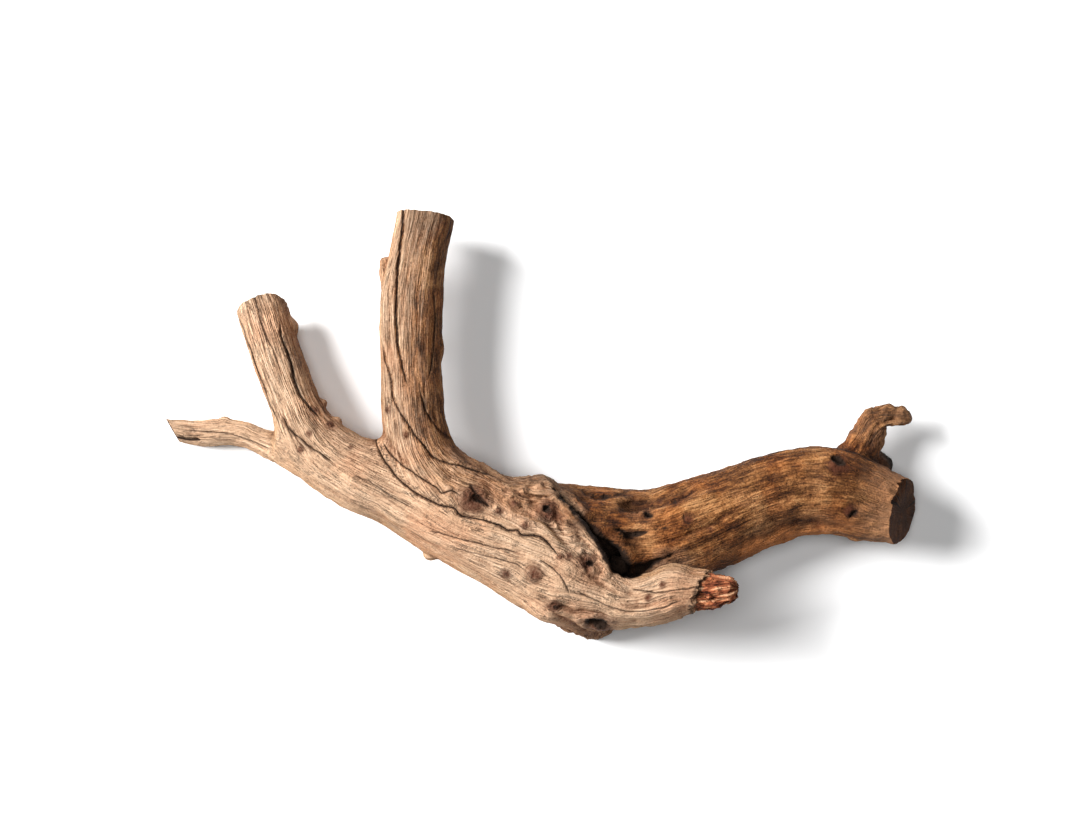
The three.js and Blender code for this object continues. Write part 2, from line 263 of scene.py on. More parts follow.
# Sums of noise: height, size, seed.
BREAK_TEETH = [(3.0, (30, 3.2, 3.2), 3), (1.6, 1.9, 4)]
SLOT_WALL = [(0.9, 5.0, 12), (0.3, 2.0, 20)]
HOLLOW_WALL = [(0.2, 3.2, 33), (0.1, 1.6, 34)]
CRACK_WANDER = [(0.45, 9.0, 21), (0.22, 2.6, 22)]
ROLLING = [(0.7, 34.0, 1), (0.3, 13.0, 2)]
GNARLED = [(1.0, 7.5, 13), (0.5, 3.8, 14), (0.25, 2.3, 30)]
# Furrows along the grain: depth, more depth on furrowed wood, size across, size along, seed.
FURROWS = [(0.25, 0.45, 4.2, 60, 4), (0.10, 0.30, 2.4, 34, 5)]

# ------------------------------------------------------------------------------- noise

dice = np.random.RandomState(11)
SHUFFLE = dice.permutation(256)
SLOPES = dice.normal(size=(256, 3))
SLOPES /= np.linalg.norm(SLOPES, axis=1)[:, None]


def noise(p, seed=0):
    """Gradient noise, about -1 to 1: each corner of a unit lattice has a random slope, and
    the slopes' heights at p are mixed by smooth weights."""
    cell = np.floor(p).astype(np.int64)
    part = p - cell
    ease = part ** 3 * (part * (part * 6 - 15) + 10)
    total = np.zeros(len(p))
    for corner in itertools.product((0, 1), repeat=3):
        at = cell + np.array(corner) + seed * 37
        pick = SHUFFLE[(at[:, 0]) & 255]
        pick = SHUFFLE[(pick + at[:, 1]) & 255]
        pick = SHUFFLE[(pick + at[:, 2]) & 255]
        height = ((part - corner) * SLOPES[pick]).sum(1)
        total += height * np.where(corner, ease, 1 - ease).prod(1)
    return total * 1.7


def noises(p, rows):
    """A sum of noises, each with its height, size and seed."""
    return sum(height * noise(p / size, seed) for height, size, seed in rows)


def smooth(low, high, x):
    """0 below low, 1 above high, and an S-shaped ramp between them."""
    t = np.clip((x - low) / (high - low), 0, 1)
    return t * t * (3 - 2 * t)


def bell(x):
    """1 at 0, falling away on both sides: exp(-x^2)."""
    return np.exp(-x ** 2)


def taper(along, start=0.2, end=0.8):
    """0 at both ends of a line and 1 between start and end."""
    return smooth(0, start, along) * smooth(1, end, along)


# ---------------------------------------------------------------------------- geometry


def length(v):
    """The size of each vector."""
    return np.linalg.norm(v, axis=-1)


def unit(v):
    """Each vector divided by its own size."""
    return v / np.maximum(np.linalg.norm(v, axis=-1, keepdims=True), 1e-9)


def past(p, place, facing):
    """How far p lies beyond a plane: its offset from a place on the plane, measured along
    the way that the plane faces."""
    return (p - place) @ unit(np.array(facing, float))


def in_box(p, low, high):
    """True where p lies between two corners."""
    return np.all((p > low) & (p < high), axis=1)


def run_along(path):
    """How far along a path each of its samples lies."""
    return np.concatenate([[0], np.cumsum(length(np.diff(path, axis=0)))])


# ------------------------------------------------------------------------------- limbs


def path_through(stations):
    """Samples of a Catmull-Rom cubic through the stations, radius included."""
    p = np.array(stations, float)
    ends = np.vstack([2 * p[0] - p[1], p, 2 * p[-1] - p[-2]])
    rows = []
    for a, b, c, d in zip(ends, ends[1:], ends[2:], ends[3:]):
        count = max(2, int(length((c - b)[:3]) / PATH_STEP))
        t = np.linspace(0, 1, count, endpoint=False)[:, None]
        cubic = 2 * b + (c - a) * t + (2 * a - 5 * b + 4 * c - d) * t ** 2
        rows.append(0.5 * (cubic + (3 * b - a - 3 * c + d) * t ** 3))
    rows.append(p[-1:])
    return np.vstack(rows)


def make_limb(name, spec):
    """A limb's pith with a frame at each sample that never twists."""
    path = path_through(spec["stations"])
    pith, girth = path[:, :3], path[:, 3]
    ahead = unit(np.gradient(pith, axis=0))
    side = np.empty_like(pith)
    start = np.cross(ahead[0], (0, 0, 1) if abs(ahead[0, 2]) < 0.8 else (1, 0, 0))
    side[0] = unit(start)
    for i in range(1, len(pith)):
        side[i] = unit(side[i - 1] - ahead[i] * (side[i - 1] @ ahead[i]))
    reach = girth.max() + BOX_SPARE
    return SimpleNamespace(
        name=name, pith=pith, girth=girth, side=side, run=run_along(pith),
        up=np.cross(ahead, side), low=pith.min(0) - reach, high=pith.max(0) + reach,
        fillet=spec["fillet"], grain=spec["grain"], pale=spec["pale"],
        gnarl=spec["gnarl"], furrow=spec["furrow"], ribs=spec.get("ribs", 0.0),
        mean=float(np.median(girth)), phase=0.7 * len(name))


LIMB_LIST = [make_limb(name, spec) for name, spec in LIMBS.items()]


def around(limb, p):
    """Where p lies about a limb: gap from its pith, run along it, angle and radius there."""
    last = len(limb.pith) - 1
    spread = (limb.pith ** 2).sum(1)[None] - 2 * p @ limb.pith.T
    i = spread.argmin(1)
    low, high = np.maximum(i - 1, 0), np.minimum(i + 1, last)
    chord = limb.pith[high] - limb.pith[low]
    t = np.clip(((p - limb.pith[low]) * chord).sum(1) / (chord ** 2).sum(1), 0, 1)
    out = p - limb.pith[low] - chord * t[:, None]
    run = limb.run[low] + (limb.run[high] - limb.run[low]) * t
    girth = limb.girth[low] + (limb.girth[high] - limb.girth[low]) * t
    angle = np.arctan2((out * limb.up[i]).sum(1), (out * limb.side[i]).sum(1))
    return SimpleNamespace(gap=length(out), run=run, girth=girth, angle=angle)


def limb_depth(limb, p):
    """Distance outside one limb: gap less radius, where the radius has shallow lobes."""
    depth = np.full(len(p), FAR)
    near = in_box(p, limb.low, limb.high)
    if near.any():
        here = p[near]
        at = around(limb, here)
        lobes = 0.030 * np.cos(3 * at.angle + limb.phase + at.run / 55)
        lobes += 0.018 * np.cos(5 * at.angle - 2 * limb.phase - at.run / 38)
        outside = at.gap - at.girth * (1 + lobes)
        if limb.name == "spur":
            outside = np.maximum(outside, past(here, *SPUR_BREAK) + noises(here, BREAK_TEETH))
        if limb.name == "heartwood":
            outside += 3.2 * np.abs(noise(here / (15, 3.6, 3.6), 5)) - 0.8
            outside += 0.7 * noise(here / (4, 1.6, 1.6), 6)
        depth[near] = outside
    return depth


def blend(a, b, reach):
    """The lower of a and b, rounded where they lie within reach of each other."""
    near = np.maximum(reach - np.abs(a - b), 0) / reach
    return np.minimum(a, b) - near ** 3 * reach / 6


def egg(p, centre, half, turn=0):
    """Distance outside an egg: how far past its unit size, times its mean half size. The
    egg is turned about the upright axis."""
    off = p - centre
    if turn:
        c, s = math.cos(math.radians(turn)), math.sin(math.radians(turn))
        x, y, z = off.T
        off = np.stack([c * x + s * y, c * y - s * x, z], 1)
    return (length(off / half) - 1) * np.mean(half)


def solid_depth(p):
    """Distance outside the limbs and lumps, blended."""
    total, brown = np.full(len(p), FAR), np.full(len(p), FAR)
    for limb in LIMB_LIST:
        if limb.name in BROWN_ARM:
            brown = blend(brown, limb_depth(limb, p), limb.fillet)
        else:
            total = blend(total, limb_depth(limb, p), limb.fillet)
    total = blend(total, brown, ARM_BLEND)
    for centre, half, reach in LUMPS:
        total = blend(total, egg(p, centre, half), reach)
    return total


def top_height(flat):
    """The height of the solid's top side at places in plan."""
    levels = np.arange(*TOP_LEVELS, 1.0)
    grid = np.empty((len(flat), len(levels), 3))
    grid[:, :, :2] = flat[:, None]
    grid[:, :, 2] = levels
    inside = solid_depth(grid.reshape(-1, 3)).reshape(len(flat), -1) < 0
    return np.where(inside, levels, 0).max(1)


def make_slot(stations):
    """A slot's line, laid on the solid's top side and squeezed with it."""
    flat = path_through([(x, y, 0, radius) for x, y, radius in stations])
    flat[:, 2] = top_height(flat[:, :2]) * SQUEEZE
    return flat


SLOT_LIST = [make_slot(stations) for stations in SLOTS]
HOLLOW_TOPS = top_height(np.array([hollow[:2] for hollow in HOLLOWS], float))
HOLLOW_LIST = [((x, y, z), half, turn, reach)
               for (x, y, half, turn, reach), z in zip(HOLLOWS, HOLLOW_TOPS)]


def slot_depth(slot, p):
    """Distance outside one slot, measured in the squeezed space."""
    depth = np.full(len(p), FAR)
    q = p * (1, 1, SQUEEZE)
    near = in_box(q, slot[:, :3].min(0) - SLOT_REACH, slot[:, :3].max(0) + SLOT_REACH)
    if near.any():
        gap = length(q[near][:, None] - slot[None, :, :3])
        depth[near] = (gap - slot[None, :, 3]).min(1) + noises(p[near], SLOT_WALL)
    return depth


def hollow_depth(p, centre, half, turn):
    """Distance outside a hollow: an egg whose wall is uneven by a share of its size."""
    depth = egg(p, centre, half, turn)
    near = depth < 6
    depth[near] += np.mean(half) * noises(p[near], HOLLOW_WALL)
    return depth


def wood_depth(p):
    """Distance outside the whole wood: the solid with its hollows and slots taken away."""
    total = solid_depth(p)
    for centre, half, turn, reach in HOLLOW_LIST:
        total = -blend(-total, hollow_depth(p, centre, half, turn), reach)
    for slot in SLOT_LIST:
        total = -blend(-total, slot_depth(slot, p), SLOT_BLEND)
    return total


# -------------------------------------------------------------------------------- skin


def tube(limb, sides=20):
    """A closed tube: a circle of the limb's radius carried along its pith, between two rings
    of no size."""
    turn = np.linspace(0, 2 * np.pi, sides, endpoint=False)[None, :, None]
    ring = np.cos(turn) * limb.side[:, None] + np.sin(turn) * limb.up[:, None]
    rings = limb.pith[:, None] + ring * limb.girth[:, None, None]
    tips = np.repeat(limb.pith[[0, -1], None], sides, axis=1)
    grid = np.concatenate([tips[:1], rings, tips[1:]])
    i, j = np.meshgrid(np.arange(len(grid) - 1), np.arange(sides), indexing="ij")
    k = (j + 1) % sides
    i, up = i * sides, (i + 1) * sides
    quads = np.stack([i + j, i + k, up + k, up + j], -1)
    return grid.reshape(-1, 3), quads.reshape(-1, 4)


def to_mesh(name, points, faces):
    """A mesh in metres from points in millimetres."""
    mesh = bpy.data.meshes.new(name)
    mesh.from_pydata(points * MM, [], faces.tolist(), shade_flat=False)
    mesh.update()
    return mesh


def rows_of(items, key, width, kind):
    """One property of all items, as rows of numbers."""
    values = np.empty(len(items) * width, kind)
    items.foreach_get(key, values)
    return values.reshape(-1, width)


def corners(mesh):
    """The mesh's points in millimetres, and its triangles."""
    mesh.calc_loop_triangles()
    points = rows_of(mesh.vertices, "co", 3, np.float32).astype(float) / MM
    return points, rows_of(mesh.loop_triangles, "vertices", 3, np.int32).astype(np.int64)


def edge_pairs(mesh):
    """The two points of each edge."""
    return rows_of(mesh.edges, "vertices", 2, np.int32)


def remeshed(mesh, voxel):
    """The mesh wrapped in one closed skin of even squares."""
    ob = bpy.data.objects.new("skin", mesh)
    bpy.context.scene.collection.objects.link(ob)
    wrap = ob.modifiers.new("wrap", "REMESH")
    wrap.mode = "VOXEL"
    wrap.voxel_size = voxel * MM
    wrap.adaptivity = 0
    wrapped = ob.evaluated_get(bpy.context.evaluated_depsgraph_get())
    made = bpy.data.meshes.new_from_object(wrapped)
    bpy.data.objects.remove(ob)
    return made


def sum_at(index, rows, count):
    """The sum of the rows that carry each index."""
    return np.stack([np.bincount(index, rows[:, axis], count) for axis in range(3)], 1)


def point_normals(points, tris):
    """Each point's normal: the sum of its triangles' cross products, made unit."""
    a, b, c = (points[tris[:, i]] for i in range(3))
    cross = np.cross(b - a, c - a)
    return unit(sum(sum_at(tris[:, i], cross, len(points)) for i in range(3)))


def settle(points, tris, rounds, stretch=4.0):
    """Moves points along their normals until they lie on the wood's surface: each round
    divides the depth by its slope along the normal."""
    for _ in range(rounds):
        normal = point_normals(points, tris)
        depth = wood_depth(points)
        slope = (wood_depth(points + PROBE * normal) - depth) / PROBE
        step = depth / np.clip(slope, 0.45, 1.4)
        points = points - normal * np.clip(step, -stretch, stretch)[:, None]
    return points


def relax(points, pairs, rounds=2):
    """Moves each point half of the way to the mean of its neighbours, round after round."""
    a, b = pairs[:, 0], pairs[:, 1]
    total = len(points)
    count = np.bincount(a, minlength=total) + np.bincount(b, minlength=total)
    for _ in range(rounds):
        mean = sum_at(a, points[b], total) + sum_at(b, points[a], total)
        points = points + 0.5 * (mean / count[:, None] - points)
    return points


def shape_skin():
    """The limbs' tubes wrapped in one skin, which is settled and relaxed, first coarse and
    then fine. Gives its points and triangles."""
    tubes = [tube(limb) for limb in LIMB_LIST]
    starts = np.cumsum([0] + [len(at) for at, _ in tubes])
    quads = [faces + start for (_, faces), start in zip(tubes, starts)]
    mesh = to_mesh("tubes", np.vstack([at for at, _ in tubes]), np.vstack(quads))
    for voxel in (ROUGH_VOXEL, FINE_VOXEL):
        mesh = remeshed(mesh, voxel)
        points, tris = corners(mesh)
        pairs = edge_pairs(mesh)
        for _ in range(2):
            points = settle(points, tris, 2)
            points = relax(points, pairs)
        points = settle(points, tris, 1)
        mesh.vertices.foreach_set("co", (points * MM).astype(np.float32).ravel())
        mesh.update()
    return points, tris


# ------------------------------------------------------------------------ marks on wood


def plan_distance(p, line):
    """Distance in plan from p to a smooth line through the points, positive on its left and
    negative on its right, and how far along the line the nearest place is, 0 to 1."""
    path = path_through([(x, y, 0, 0) for x, y in line])[:, :2]
    run = run_along(path)
    signed, along = np.full(len(p), FAR), np.zeros(len(p))
    close = in_box(p[:, :2], path.min(0) - LINE_REACH, path.max(0) + LINE_REACH)
    q = p[close, :2]
    near, place, side = np.full(len(q), FAR), np.zeros(len(q)), np.ones(len(q))
    for a, b, start, end in zip(path, path[1:], run, run[1:]):
        chord = b - a
        t = np.clip(((q - a) @ chord) / max(chord @ chord, 1e-9), 0, 1)
        off = q - a - t[:, None] * chord
        gap = length(off)
        better = gap < near
        near[better] = gap[better]
        place[better] = (start + (end - start) * t)[better] / run[-1]
        side[better] = np.sign(chord[0] * off[:, 1] - chord[1] * off[:, 0])[better]
    signed[close], along[close] = near * side, place
    return signed, along


def top_side(normal):
    """1 where the skin faces up, fading to 0 where it turns under."""
    return smooth(-0.05, 0.2, normal[:, 2])


def knot_places(points):
    """The highest point of the skin at each knot's place in plan."""
    places = []
    for x, y, radius, height, pit in KNOTS:
        flat = np.hypot(points[:, 0] - x, points[:, 1] - y)
        score = np.where(flat < KNOT_SEARCH, points[:, 2], -FAR)
        if score.max() == -FAR:
            score = -flat
        places.append((points[score.argmax()], radius, height, pit))
    return places


def grain_places(p, knots):
    """For each limb: the points it shares in, its share there, and their place in its
    grain, which is (mean radius x cosine, mean radius x sine, run). Lines of grain part
    round a knot as water parts round a post: y becomes y (1 - a^2 / r^2)."""
    depths = np.stack([limb_depth(limb, p) for limb in LIMB_LIST])
    spare = depths - depths.min(0)
    share = np.clip(1 - spare / SHARE_REACH, 0, 1) ** 2
    share /= share.sum(0)
    result = []
    for limb, part in zip(LIMB_LIST, share):
        held = np.flatnonzero(part > 1e-4)
        if not len(held):
            continue
        at = around(limb, p[held])
        angle = at.angle.copy()
        for place, radius, _, _ in knots:
            far = length(p[held] - place)
            close = far < 6 * radius
            if not close.any():
                continue
            centre = around(limb, place[None])
            x = at.run[close] - centre.run[0]
            turn = at.angle[close] - centre.angle[0]
            turn = (turn + np.pi) % (2 * np.pi) - np.pi
            girth = np.maximum(at.girth[close], 6)
            y = turn * girth
            post = (0.9 * radius) ** 2
            bend = post / (x ** 2 + y ** 2 + 0.35 * post)
            fade = smooth(6, 3, far[close] / radius)
            angle[close] -= fade * y * np.minimum(bend, 1) / girth
        place3 = np.stack([limb.mean * np.cos(angle), limb.mean * np.sin(angle), at.run], 1)
        result.append((limb, held, part[held], place3))
    return result


def along_grain(grains, count, wide, long, seed):
    """Noise drawn out along the grain: wide is its size across and long its size along."""
    total = np.zeros(count)
    for limb, held, part, place in grains:
        drawn = place / (wide, wide, long) + PHASE_STEP * limb.phase
        total[held] += part * noise(drawn, seed)
    return total


def crack_marks(p, normal):
    """For each point: how deep it lies in a crack, the signed distance to the nearest
    crack's middle, that crack's half width there, and how much the crack counts."""
    depth, share = np.zeros(len(p)), np.zeros(len(p))
    signed, wide = np.full(len(p), FAR), np.full(len(p), 0.5)
    wander = noises(p, CRACK_WANDER)
    up = top_side(normal)
    for i, (width, deep, line) in enumerate(CRACKS):
        gap, along = plan_distance(p, line)
        gap = gap + wander
        ends = taper(along, 0.1, 0.88)
        if line[0] in OPEN_ENDS:
            ends = smooth(1, 0.85, along)
        here = width * (0.35 + 0.65 * ends) * (1 + 0.5 * noise(p / 11.0, 23 + i))
        groove = np.clip(1 - np.abs(gap) / (here + 0.55), 0, 1)
        depth = np.maximum(depth, deep * groove * ends * up)
        closer = np.abs(gap) < np.abs(signed)
        signed[closer], wide[closer] = gap[closer], here[closer]
        counts = smooth(3.4, 2.0, np.abs(gap)) * taper(along, 0.04, 0.96)
        share[closer] = (counts * up * min(1, 0.55 + deep / 5))[closer]
    return depth, np.clip(signed, -9, 9), wide, share


def limb_mix(grains, count, value):
    """A value of each limb, mixed at each point: the sum of each limb's share times its
    value."""
    total = np.zeros(count)
    for limb, held, part, _ in grains:
        total[held] += part * value(limb)
    return total


def fold_marks(points, normal):
    """For each fold: its half width and height, the distance from its wandering middle, and
    how much it counts."""
    wander = 0.9 * noise(points / 8.0, 10)
    for wide, height, line in FOLDS:
        gap, along = plan_distance(points, line)
        yield wide, height, gap + wander, taper(along) * top_side(normal)


def knot_marks(points, knots):
    """For each knot: the uneven distance from its middle in radii, its height and its pit."""
    for place, radius, height, pit in knots:
        gap = length(points - place) * (1 + 0.35 * noise(points / (0.9 * radius), 8))
        yield gap / radius, height, pit


def dress(points, tris, knots):
    """Moves the skin along its normals. The rise is a sum: noise for lumps, noise drawn out
    along the grain for furrows and ribs, and a bell of the distance over the half width for
    each fold and knot. The cracks' depth is taken from it."""
    normal = point_normals(points, tris)
    grains = grain_places(points, knots)
    count = len(points)
    furrow = limb_mix(grains, count, lambda limb: limb.furrow)
    rise = noises(points, ROLLING)
    rise += limb_mix(grains, count, lambda limb: limb.gnarl) * noises(points, GNARLED)
    rise += 0.5 * along_grain(grains, count, 7.5, 95, 3)
    for least, more, wide, long, seed in FURROWS:
        valley = np.abs(along_grain(grains, count, wide, long, seed)) - 0.25
        rise -= (least + more * furrow) * valley
    ribs = limb_mix(grains, count, lambda limb: limb.ribs)
    rise += ribs * along_grain(grains, count, 3.4, 24, 7)
    rise -= 0.5 * smooth(0.05, 0.0, np.abs(along_grain(grains, count, 13, 150, 6)))
    ripple = 1 + 0.3 * noise(points / 5.0, 9)
    for wide, height, gap, counts in fold_marks(points, normal):
        rise += height * bell(gap / (wide * ripple)) * counts
    for gap, height, pit in knot_marks(points, knots):
        rise += height * bell(gap / 1.1)
        rise -= 0.25 * height * bell((gap - 1.6) / 0.4)
        rise -= (pit + 0.4 * height) * bell(gap / 0.4)
    depth = crack_marks(points, normal)[0]
    return points + normal * (rise - depth)[:, None]


def wants_detail(points, normal, knots):
    """True where the skin needs smaller triangles: cracks, knots, rims and the break."""
    wanted = np.zeros(len(points), bool)
    for width, _, line in CRACKS:
        wanted |= np.abs(plan_distance(points, line)[0]) < width + 1.6
    wanted &= normal[:, 2] > -0.1
    for place, radius, _, _ in knots:
        wanted |= length(points - place) < 1.5 * radius
    for at, facing, reach, _ in SAW_CUTS:
        close = length(points - at) < reach
        wanted |= close & (np.abs(past(points, at, facing)) < 2.4)
    along_ridge = np.abs(plan_distance(points, RIDGE_LINE)[0])
    wanted |= (along_ridge < 15) & (normal[:, 2] > 0.1)
    return wanted | in_box(points, *FINE_TIP) | in_box(points, *FINE_HOOK)


def edges_of(tris):
    """Each edge once, as a sorted pair of points, and the edges of each triangle: first to
    second, second to third, third to first."""
    ends = np.sort(tris[:, [[0, 1], [1, 2], [2, 0]]].reshape(-1, 2), axis=1)
    _, first, back = np.unique(edge_number(ends), return_index=True, return_inverse=True)
    return ends[first], back.reshape(-1, 3)


def edge_number(ends):
    """One number for each sorted pair: the first times a large step, plus the second."""
    return (ends[:, 0] << 32) + ends[:, 1]


def turned(rows, start):
    """Rows of three, each turned so that its entry at start comes first."""
    return np.take_along_axis(rows, (start[:, None] + np.arange(3)) % 3, axis=1)


def refined(points, tris, wanted):
    """Halves each edge whose two ends are wanted. A triangle then has one halved edge and
    becomes two, or three and becomes four."""
    pairs, sides = edges_of(tris)
    halved = wanted[pairs].all(1)
    middle = np.where(halved, len(points) + np.cumsum(halved) - 1, -1)[sides]
    points = np.vstack([points, points[pairs[halved]].mean(1)])
    count = (middle >= 0).sum(1)
    one, all3 = count == 1, count == 3
    start = (middle[one] >= 0).argmax(1)
    a, b, c = turned(tris[one], start).T
    ab = turned(middle[one], start)[:, 0]
    d, e, f = tris[all3].T
    de, ef, fd = middle[all3].T
    rows = [(a, ab, c), (ab, b, c), (d, de, fd), (de, e, ef), (fd, ef, f), (de, ef, fd)]
    return points, np.vstack([tris[count == 0]] + [np.stack(row, 1) for row in rows])


def linked(count, pairs):
    """A label for each point, the same for all points that the pairs join: each round a
    point takes the lowest label next to it, and then that label's own label."""
    label = np.arange(count)
    while True:
        low = label.copy()
        np.minimum.at(low, pairs[:, 0], label[pairs[:, 1]])
        np.minimum.at(low, pairs[:, 1], label[pairs[:, 0]])
        low = low[low]
        if (low == label).all():
            return label
        label = low


# ---------------------------------------------------------------------------- flat cuts


def cap(rim, steps, start):
    """Closes rims with rings that shrink towards each rim's middle. rim is the points, steps
    is the pairs round it, and start is the number of its first point."""
    _, loop = np.unique(linked(len(rim), steps), return_inverse=True)
    size = np.bincount(loop)
    middle = sum_at(loop, rim, len(size)) / size[:, None]
    shrink = np.arange(1, CAP_RINGS) / CAP_RINGS
    rings = rim + (middle[loop] - rim) * shrink[:, None, None]
    i, j = steps.T + start
    tris = []
    for ring in range(CAP_RINGS - 1):
        out, inn = ring * len(rim), (ring + 1) * len(rim)
        tris += [(i + out, j + out, j + inn), (i + out, j + inn, i + inn)]
    hub = start + CAP_RINGS * len(rim) + loop[steps[:, 0]]
    tris.append((i + inn, j + inn, hub))
    return np.vstack([rings.reshape(-1, 3), middle]), np.vstack([np.stack(t, 1) for t in tris])


def cut_flat(points, tris, sawn, at, facing, reach):
    """Cuts off the wood beyond a plane, within reach of a place on it, and caps the rims. An
    edge is cut where its distance beyond the plane is 0, by straight proportion."""
    beyond = past(points, at, facing)
    beyond[length(points - at) > reach] = -FAR
    kept = beyond <= 0
    pairs, sides = edges_of(tris)
    crossed = kept[pairs[:, 0]] != kept[pairs[:, 1]]
    a, b = pairs[crossed].T
    part = beyond[a] / (beyond[a] - beyond[b])
    rim = points[a] + part[:, None] * (points[b] - points[a])
    start = len(points)
    cut = np.where(crossed, start + np.cumsum(crossed) - 1, -1)[sides]
    inside = kept[tris]
    count = inside.sum(1)
    two, one = count == 2, count == 1
    turn = (~inside[two]).argmax(1)
    _, b, c = turned(tris[two], turn).T
    ab, _, ca = turned(cut[two], turn).T
    turn = inside[one].argmax(1)
    d = turned(tris[one], turn)[:, 0]
    de, _, fd = turned(cut[one], turn).T
    steps = np.vstack([np.stack([ab, ca], 1), np.stack([fd, de], 1)]) - start
    new, caps = cap(rim, steps, start)
    rows = [np.stack(row, 1) for row in ((ab, b, c), (ab, c, ca), (d, de, fd))]
    tris = np.vstack([tris[count == 3]] + rows + [caps])
    fresh = np.ones(len(caps), int)
    sawn = np.concatenate([sawn[count == 3], sawn[two], sawn[two], sawn[one], fresh])
    return np.vstack([points, rim, new]), tris, sawn


def main_piece(points, tris, sawn):
    """The largest connected piece, with only the points it uses."""
    label = linked(len(points), np.vstack([tris[:, :2], tris[:, 1:]]))[tris[:, 0]]
    held = label == np.bincount(label).argmax()
    used, tris = np.unique(tris[held], return_inverse=True)
    return points[used], tris.reshape(-1, 3), sawn[held]


def wood_mesh(points, tris, sawn):
    """The finished mesh, smooth all over but for a sharp edge round each cut."""
    mesh = to_mesh("wood", points, tris)
    mesh.attributes.new("sawn", "INT", "FACE").data.foreach_set("value", sawn.astype(np.int32))
    pairs, sides = edges_of(tris)
    cut_sides = np.bincount(sides.ravel(), np.repeat(sawn, 3), len(pairs))
    own = np.sort(edge_pairs(mesh).astype(np.int64), axis=1)
    place = np.searchsorted(edge_number(pairs), edge_number(own))
    sharp = mesh.attributes.new("sharp_edge", "BOOLEAN", "EDGE")
    sharp.data.foreach_set("value", (cut_sides == 1)[place])
    return mesh


# --------------------------------------------------------------------------- attributes


def give(mesh, name, values):
    """Stores one number or one vector for each point."""
    vector = values.ndim == 2
    kind = "FLOAT_VECTOR" if vector else "FLOAT"
    made = mesh.attributes.new(name, kind, "POINT")
    made.data.foreach_set("vector" if vector else "value", values.astype(np.float32).ravel())


def pale_and_side_shade(points, normal, grains):
    """How pale each point is, 0 on brown wood and 1 on weather-whitened wood: the limbs' mix,
    less where a stump faces right, which is painted shade on the side away from the light,
    less a bell round the brown patch, and at least a bell round the pale strip."""
    count = len(points)
    pale = limb_mix(grains, count, lambda limb: limb.pale)
    stump = limb_mix(grains, count, lambda limb: limb.name in ("tall_stump", "left_stump"))
    arm = bell(plan_distance(points, BROWN_PATCH)[0] / 7.0)
    # Painted shade: a stump grows darker the more it faces right, away from the light.
    pale = np.clip(pale - 0.6 * stump * (normal[:, 0] - 0.1) - 0.8 * arm, 0, 1)
    gap, along = plan_distance(points, PALE_STRIP)
    strip = bell((gap + 1.2 * noise(points / 5.0, 31)) / 4.2) * smooth(1, 0.8, along)
    return np.maximum(pale, 0.55 * strip * top_side(normal))


def knots_and_shade(points, normal, knots, grains):
    """Two masks: the knots' red-brown, and the shade in pits, hollows, slots and folds, on
    the leg and round the break."""
    knot, dark = np.zeros(len(points)), np.zeros(len(points))
    for gap, height, pit in knot_marks(points, knots):
        tint = 0.35 if pit < 0 else min(1, 0.6 + height)
        knot = np.maximum(knot, tint * np.exp(-(gap / 1.5) ** 4))
        dark = np.maximum(dark, min(1, 0.2 + 0.5 * pit) * bell(gap / 0.45))
    for centre, half, turn, reach in HOLLOW_LIST:
        inside = hollow_depth(points, centre, half, turn) / np.mean(half) + 1
        shade, rim, deep = (0.9, 1.45, 0.9) if reach < 3 else (0.6, 2.3, 0.2)
        dark = np.maximum(dark, shade * smooth(rim, deep, inside))
    for slot in SLOT_LIST:
        dark = np.maximum(dark, 0.95 * smooth(1.2, -0.2, slot_depth(slot, points)))
    rib_wide, _, rib_line = POCKET_RIB
    gap, along = plan_distance(points, rib_line)
    dark *= 1 - 0.6 * bell(gap / (0.5 * rib_wide)) * smooth(0.2, 0.4, along)
    for wide, height, gap, counts in fold_marks(points, normal):
        if height <= -1:
            dark = np.maximum(dark, -0.16 * height * bell(gap / (0.6 * wide)) * counts)
    leg = limb_mix(grains, len(points), lambda limb: limb.name == "leg")
    dark = np.maximum(dark, 0.82 * leg)
    broken = smooth(3.5, 0.5, np.abs(past(points, *SPUR_BREAK))) * in_box(points, *SPUR_TIP)
    return knot, np.maximum(dark, 0.75 * broken * smooth(-0.4, 0.3, noise(points / 3.0, 17)))


def stain_and_shadow_marks(points, normal):
    """A mask for each named line in the table, stained wood or painted shadow: a bell of the
    distance over the half width, tapered at the line's ends."""
    masks_by_name = {name: np.zeros(len(points)) for name, _, _ in STAINS_AND_SHADOWS}
    wander = 2.5 * noise(points / 11.0, 16)
    for name, wide, line in STAINS_AND_SHADOWS:
        gap, along = plan_distance(points, line)
        line_mask = bell((gap + wander) / wide) * taper(along, 0.2, 0.75) * top_side(normal)
        masks_by_name[name] = np.maximum(masks_by_name[name], line_mask)
    return masks_by_name


